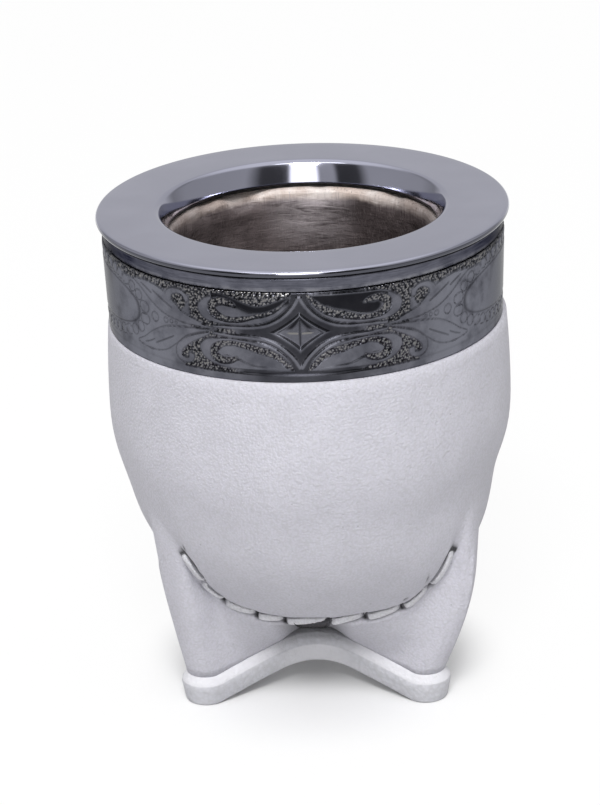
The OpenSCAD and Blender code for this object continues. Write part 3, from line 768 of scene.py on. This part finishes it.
def arch_z(plan):
    """Height of the arched underside of the sole."""
    return sole_arch * (1 - (np.hypot(plan[..., 0], plan[..., 1]) / foot_reach) ** arch_curve)


def turn_bay(points, bay):
    """Turns points of a bay, along, out and up, into the frame of the cup."""
    a = 2 * half_bay * bay - math.pi / 2
    x = points[..., 1] * math.cos(a) - points[..., 0] * math.sin(a)
    y = points[..., 1] * math.sin(a) + points[..., 0] * math.cos(a)
    return np.stack([x, y, points[..., 2]], -1)


def skin_r(z, turn):
    """Radius of the drawn leather at a height and a turn from the front, fuller over the right leg."""
    turn = (turn + math.pi) % math.tau - math.pi
    below = body_r * np.sqrt(np.clip(1 - ((waist_z - z) / belly_drop) ** 2, 0, 1))
    r = np.where(z > waist_z, upper_r(z, body_r, shoulder_r, shoulder_z), below)
    full = smooth_step(turn, full_from, full_to) * (1 - smooth_step(turn, full_end, full_gone))
    r = r + right_full * full * (1 - smooth_step(z, full_low, full_high))
    return r + lean * np.sin(turn) - (trim + right_trim * full) * bell(z - trim_z, trim_h)


def spread(lines, lengths):
    """Points of lines down the first axis, at the lengths that a function makes of the full lengths."""
    run = np.linalg.norm(np.diff(lines, axis=0), axis=-1)
    run = np.concatenate([np.zeros((1, run.shape[1])), np.cumsum(run, axis=0)])
    wanted = lengths(run[-1])
    placed = np.empty((len(wanted), *lines.shape[1:]))
    for col in range(lines.shape[1]):
        for axis in range(3):
            placed[:, col, axis] = np.interp(wanted[:, col], run[:, col], lines[:, col, axis])
    return placed


def square_to(way, seam_way):
    """How much longer a line in a way is than its distance from the seam."""
    cosine = (way * seam_way).sum(-1) / np.linalg.norm(way, axis=-1) / np.linalg.norm(seam_way, axis=-1)
    return np.clip(1 / np.sqrt(np.clip(1 - cosine ** 2, 1e-6, 1)), 1, 3)


def unit(ways):
    """Each way with its length made 1."""
    return ways / np.linalg.norm(ways, axis=-1, keepdims=True)


bay_cols, fine_rows, belly_rows, skirt_rows, line_steps = 180, 17, 26, 16, 160
fine_step = 0.25 * MM
fine_reach = fine_rows * fine_step
fine_way = np.linspace(fine_reach, 0, fine_rows + 1)[:, None]
gather_curve, skirt_smooth, slant_steps = 1.5, 20, 8
col_s = -1 + 2 * np.arange(bay_cols) / bay_cols
col_turn = np.radians(np.interp(col_s, seam_line[:, 0], seam_line[:, 1]))
col_z = np.interp(col_s, seam_line[:, 0], seam_line[:, 2]) * MM
down = np.linspace(0, 1, line_steps)[:, None]
fan = 4 * (np.sqrt(1 - down) - (1 - down))
bays = []
for bay in range(legs):
    turn = half_bay * col_s + (col_turn - half_bay * col_s) * down ** gather_curve
    turn -= np.sign(col_s) * steep_fan * bell(np.abs(col_s) - steep_at, steep_w) * fan
    z = shoulder_z + (col_z - shoulder_z) * down
    r = skin_r(z, turn + 2 * half_bay * bay)
    belly = np.stack([r * np.sin(turn), r * np.cos(turn), z], -1)
    seam_way = np.gradient(belly[-1], axis=0)
    foot = foot_edge(col_s, skirt_w)
    foot_z = sole_h + np.maximum(0, arch_z(foot))
    foot = np.concatenate([foot, foot_z[:, None]], 1)
    off_way = unit(np.cross(belly[-1] * (1, 1, 0), seam_way))
    landing = knee_len * (1 - smooth_step(np.abs(col_s), knee_from, knee_to))
    knee = belly[-1] + off_way * landing[:, None]
    fall = np.linalg.norm(foot - knee, axis=1)
    walked = down * (landing + fall)
    past = np.clip((walked - landing) / fall, 0, 1)
    skirt = belly[-1] + off_way * np.minimum(walked, landing)[..., None] + (foot - knee) * past[..., None]
    swell = np.where(col_s > 0, leg_swell[bay], leg_swell[bay - 1]) * np.abs(col_s) ** swell_curve
    bulge = np.sin(math.pi * past) * swell
    skirt[..., 0] += bulge * np.sign(col_s) * leg_way[0]
    skirt[..., 1] += bulge * leg_way[1]
    skirt[..., 1] += flank_full * bell(np.abs(col_s) - flank_at, flank_w) * np.sin(math.pi * past)
    for _ in range(skirt_smooth):
        skirt[1:-1] = (skirt[2:] + skirt[:-2]) / 4 + skirt[1:-1] / 2
    belly_slant = square_to(belly[-1] - belly[-slant_steps], seam_way)
    skirt_slant = square_to(skirt[slant_steps] - skirt[0], seam_way)
    belly_points = spread(belly, lambda full: np.concatenate([
        np.linspace(0, 1, belly_rows, endpoint=False)[:, None] * (full - fine_reach * belly_slant),
        full - fine_way * belly_slant]))
    skirt_points = spread(skirt, lambda full: np.concatenate([
        fine_way[-2::-1] * skirt_slant, fine_reach * skirt_slant
        + np.linspace(0, 1, skirt_rows + 1)[1:, None] * (full - fine_reach * skirt_slant)]))
    bays.append(turn_bay(np.concatenate([belly_points, skirt_points]), bay))
cover = np.concatenate(bays, axis=1)
cover_s = np.tile(col_s, legs)
seam_row = belly_rows + fine_rows

seam = cover[seam_row]
seam_ahead = unit(np.roll(seam, -1, 0) - np.roll(seam, 1, 0))
offset = cover - seam
offset -= (offset * seam_ahead).sum(-1, keepdims=True) * seam_ahead
off = np.linalg.norm(offset, axis=-1) / MM
off[seam_row:] *= -1
seam_walk = np.concatenate([[0], np.cumsum(np.linalg.norm(np.diff(seam[:bay_cols], axis=0), axis=1))]) / MM
walk = np.tile(seam_walk, legs)


def outward(points):
    """Outward way of a wrapped sheet at each of its points."""
    ahead = np.roll(points, -1, 1) - np.roll(points, 1, 1)
    return unit(np.cross(np.gradient(points, axis=0), ahead))


# Marks beside the seam: off and wide in millimetres, from and to as shares of the seam's way.
lace_out, lace_in = 0.03, 0.02
groove_off, groove_w, under_off, under_w = 0.4, 0.42, 0.15, 0.28
end_slit_w, slit_w, prick_w = 0.75, 0.45, 0.5
hollow_from, hollow_to = 0.06, 0.28
rise_off, rise_w, under_rise_off, under_rise_w = 2.4, 1.3, 2.0, 0.9
unlaced_in, unlaced_out, unlaced_w, unlaced_smooth, smooth_pull = 0.1, 0.12, 7, 60, 0.9
rise_h, under_rise_h = 0.12, 0.15
# The side bays have no first stitch.
in_front = np.arange(len(cover_s)) < bay_cols
first_stitch, last_stitch = np.where(in_front, stitch_ends[0], stitch_ends[1]), stitch_ends[-1]
laced = smooth_step(cover_s, first_stitch - lace_out, first_stitch + lace_in)
laced *= 1 - smooth_step(cover_s, last_stitch - lace_in, last_stitch + lace_out)
end_walk = np.interp(stitch_ends, col_s, seam_walk)
stitch_way = (np.searchsorted(end_walk, walk, "right") - 1).clip(0, len(end_walk) - 2)
stitch_share = (walk - end_walk[stitch_way]) / (end_walk[stitch_way + 1] - end_walk[stitch_way])
from_lace = off - lace_start - (lace_stop - lace_start) * np.clip(stitch_share, 0, 1)
groove = bell(from_lace - lace_w / 2 / MM - groove_off, groove_w) * laced
lower_groove = bell(from_lace + lace_w / 2 / MM + under_off, under_w) * laced
across_lace = smooth_step(off, -1.6, -1.1) * (1 - smooth_step(off, 0.8, 1.3))
slit = np.zeros(off.shape)
for at in end_walk:
    half_w = np.where((at in (end_walk[0], end_walk[-1])) & in_front, end_slit_w, slit_w)
    pierced = in_front | (at > end_walk[0])
    slit = np.maximum(slit, pierced * bell(walk - at, half_w) * across_lace)
prick = np.zeros(off.shape)
for share, above_seam in pricked_at:
    at = np.interp(share, col_s, seam_walk)
    prick = np.maximum(prick, bell(np.hypot(walk - at, off - above_seam), prick_w) * in_front)
hollow = (1 - smooth_step(np.abs(cover_s), hollow_from, hollow_to)) * smooth_step(-off, 1.0, 2.2)
# How deep in millimetres each kind of mark is, how dark its painted shade is, and where it lies.
dents = [(0.7, 1.25, groove), (0.4, 0.55, lower_groove), (0.9, 1.4, slit), (0.5, 1, prick),
         (1.3, 0.95, hollow)]
sink = sum(depth * dent for depth, dark, dent in dents)
rise = rise_h * bell(off - rise_off, rise_w) * laced
rise += under_rise_h * bell(off + under_rise_off, under_rise_w) * laced * (1 - hollow)
cover += outward(cover) * ((rise - sink) * MM)[..., None]
unlaced = smooth_step(np.abs(cover_s), last_stitch - unlaced_in, last_stitch + unlaced_out)
unlaced = unlaced * bell(off, unlaced_w)
for _ in range(unlaced_smooth):
    mean = (np.roll(cover, 1, 1) + np.roll(cover, -1, 1))[1:-1] / 4 + (cover[2:] + cover[:-2]) / 4
    cover[1:-1] += (mean - cover[1:-1]) * unlaced[1:-1, :, None] * smooth_pull
cover_out = outward(cover)

tuck_gap, tuck_h = 0.25 * MM, 3.4 * MM
tuck_profile = [(inner - tuck_gap, band_foot + tuck_h), (inner - tuck_gap, band_foot - 0.1 * MM),
                (shoulder_r - 0.45 * MM, band_foot - 0.15 * MM)]
shoulder_turn = np.arctan2(cover[0, :, 1], cover[0, :, 0])
ring = np.stack([np.cos(shoulder_turn), np.sin(shoulder_turn), np.zeros(len(shoulder_turn))], -1)
tuck = [ring * r + (0, 0, z) for r, z in tuck_profile]
# The grooves, holes and hollow under the seam's middle are painted darker as shade.
crease = np.clip(sum(dark * dent for depth, dark, dent in dents), 0, 1)
cover_bm = wrapped_sheet(np.concatenate([tuck, cover]), crease=np.pad(crease, ((len(tuck), 0), (0, 0))))
# Tones of the grain and specks, of cut edges with painted light, and of painted shade.
grain_shade, speck_shade = grey(0.42), grey(0.2)
pared_and_lit_tone, shade_tone = (0.83, 0.825, 0.865, 1), (0.015, 0.014, 0.017, 1)


def white_leather(name, light, shade, grain):
    """White leather with a pebbled grain and a few specks, darker where the mesh holds painted shade, and
    paler on cut edges and where light is painted.
    """
    material, shader, place = new_finish(name, Specular_IOR_Level=0.35, Sheen_Weight=0.05)
    mottle = place.noise(120.0, 4, 0.6)
    pebble = place.node("TexVoronoi", {"feature": "SMOOTH_F1"},
                        {"Vector": place, "Scale": grain, "Smoothness": 0.6}, out="Distance")
    fine = place.noise(grain * 1.6, 3, 0.6)
    fold = place.math("ABSOLUTE", place.noise(330.0, 4, 0.6) - 0.5)
    wrinkle = 1 - fold.step(0.0, 0.045)
    speck = place.node("TexVoronoi", {}, {"Vector": place, "Scale": 240.0}, out="Distance")
    colour = mottle.step(0.25, 0.75).mix(shade, light)
    colour = (pebble.step(0.25, 0.75) * 0.24 + wrinkle * 0.03).mix(colour, grain_shade)
    colour = ((1 - speck.step(0.03, 0.06)) * 0.4).mix(colour, speck_shade)
    # Paler on cut edges and where light is painted, and darker where shade is painted.
    colour = place.stored("pared").mix(colour, pared_and_lit_tone)
    place.set(shader.inputs["Base Color"], (place.stored("crease") * 0.98).mix(colour, shade_tone))
    place.set(shader.inputs["Roughness"], mottle * 0.15 + 0.5)
    (pebble * 0.9 + fine * 0.9 - wrinkle * 0.1).bump(shader, 0.17 * MM, 0.9)
    return material


cover_leather = white_leather("white_leather", (0.665, 0.656, 0.728, 1), (0.615, 0.606, 0.675, 1), 1900.0)
leather_cover = new_piece("leather_cover.drawn", cover_bm, cover_leather)
thick = leather_cover.modifiers.new("thickness", "SOLIDIFY")
thick.thickness = leather_t
thick.offset = -1
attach(leather_cover, "root")
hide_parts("leather_cover")


# The laces: three flat strips of white leather, one in each bay, drawn tight through punched holes.
# Each stitch comes out below the seam, runs along it and goes in again above it.
lace_t = 0.62 * MM
lace_gap = 0.4
lace_lift = [(0.0, -1.1), (0.03, -0.35), (0.08, 0.15), (0.16, 0.34), (0.3, 0.38), (0.5, 0.36), (0.7, 0.32),
             (0.84, 0.22), (0.92, 0.0), (0.97, -0.45), (1.0, -1.1)]
lace_profile = np.array([(-0.5, -0.2), (-0.47, 0.2), (-0.36, 0.45), (0.0, 0.5), (0.36, 0.45), (0.47, 0.2),
                         (0.5, -0.2), (0.36, -0.48), (-0.36, -0.48)])


def beside_seam(field, bay, s, off):
    """Value of a field of the cover at a share of a bay's seam and at millimetres up from the seam."""
    col = (s + 1) / 2 * bay_cols
    row = seam_row - off * MM / fine_step
    i, j = np.floor(col).astype(int), np.floor(row).astype(int)
    u, v = (col - i)[:, None], (row - j)[:, None]
    a, b = bay * bay_cols + i, (bay * bay_cols + i + 1) % field.shape[1]
    above = field[j, a] * (1 - u) + field[j, b] * u
    below = field[j + 1, a] * (1 - u) + field[j + 1, b] * u
    return above * (1 - v) + below * v


def close_ends(bm):
    """Fills the open ends of a wrapped sheet."""
    bmesh.ops.holes_fill(bm, edges=[e for e in bm.edges if e.is_boundary], sides=0)
    bmesh.ops.recalc_face_normals(bm, faces=bm.faces)


lace_leather = white_leather("lace_leather", (0.82, 0.815, 0.86, 1), (0.74, 0.735, 0.785, 1), 2200.0)
for bay, name in enumerate(("lace_front", "lace_right", "lace_left")):
    stitches = []
    spans = list(zip(stitch_ends[:-1], stitch_ends[1:], np.diff(end_walk)))
    first_span = 0 if name == "lace_front" else 1
    for a, b, length in spans[first_span:]:
        gap = lace_gap * (b - a) / length
        stitches.append((a + gap, lace_start, b - gap, lace_stop))
    route = np.array([(a + (b - a) * t, low + (top - low) * t, lift * MM)
                      for a, low, b, top in stitches for t, lift in lace_lift])
    out = beside_seam(cover_out, bay, route[:, 0], route[:, 1])
    path = beside_seam(cover, bay, route[:, 0], route[:, 1]) + out * route[:, 2:]
    ahead = np.gradient(path, axis=0)
    wide = unit(np.cross(ahead, out))
    tall = unit(np.cross(wide, ahead))
    lace_points = (path[:, None] + wide[:, None] * lace_profile[:, :1] * lace_w
                   + tall[:, None] * lace_profile[:, 1:] * lace_t)
    lace_bm = wrapped_sheet(lace_points)
    close_ends(lace_bm)
    lace = new_piece(name + ".strip", lace_bm, lace_leather)
    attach(lace, "root")
    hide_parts(name)


# The sole: a thick piece of leather cut to a three-footed star and glued under the legs.
# It arches up between its feet, and its upper edge is pared to a bevel, whose paler tone is partly the cut
# edge and partly painted light. In the arches its side is painted paler as light and its bevel painted
# darker as shade.
sole_cols = 96
edge_round = 0.45 * MM
sole_draw = 0.7 * MM
inner_w = skirt_w - leather_t
sole_s = -1 + 2 * np.arange(sole_cols) / sole_cols


def sole_ring(w, part, lift):
    """A ring of the sole: the outline of half-width w, drawn in to a part and lifted off the arch."""
    plan = foot_edge(sole_s, w) * part
    z = lift + np.maximum(0, arch_z(plan))
    points = np.concatenate([plan, z[:, None]], axis=1)
    return np.concatenate([turn_bay(points, bay) for bay in range(legs)])


low_w = foot_w - sole_draw
underside = [sole_ring(low_w - edge_round, part, 0)
             for part in (0.02, 0.15, 0.3, 0.45, 0.6, 0.75, 0.88, 1.0)]
side = [sole_ring(low_w - 0.3 * edge_round, 1, 0.12 * MM)]
side += [sole_ring(low_w + sole_draw * t, 1, edge_round + (sole_edge_h - 2 * edge_round) * t)
         for t in (0, 0.33, 0.67, 1)]
arris = [sole_ring(foot_w - 0.1 * MM, 1, sole_edge_h - 0.15 * MM)]
bevel = [sole_ring(foot_w - sole_margin * t, 1, sole_edge_h + sole_bevel_h * t)
         for t in (0.1, 0.35, 0.7, 0.92)]
top = [sole_ring(skirt_w - 0.1 * MM, 1, sole_h), sole_ring(inner_w, 1, sole_h)]
top += [sole_ring(inner_w, part, sole_h) for part in (0.8, 0.6, 0.4, 0.2, 0.03)]
side_row = len(underside)
bevel_row = side_row + len(side) + len(arris)
top_row = bevel_row + len(bevel)
arch_from, arch_to = 0.12, 0.4
pale_and_lit_level, arch_shade = 0.8, 0.33
# The bevel is paler, partly as a cut edge and partly as painted light. In the arches the side is painted
# paler as light and the top of the bevel painted darker as shade.
in_arch = 1 - smooth_step(np.abs(np.tile(sole_s, legs)), arch_from, arch_to)
pared = np.zeros((top_row + len(top), legs * sole_cols))
pared[bevel_row:top_row] = pale_and_lit_level * (1 - in_arch)
pared[side_row:side_row + len(side)] = pale_and_lit_level * in_arch
sole_shade = np.zeros(pared.shape)
sole_shade[top_row - 2:top_row + 2] = arch_shade * in_arch
sole_bm = wrapped_sheet(np.array(underside + side + arris + bevel + top), pared=pared, crease=sole_shade)
close_ends(sole_bm)
sole_leather = white_leather("sole_leather", (0.68, 0.68, 0.725, 1), (0.6, 0.6, 0.65, 1), 1100.0)
sole = new_piece("sole.arched", sole_bm, sole_leather)
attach(sole, "root")
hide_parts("sole")
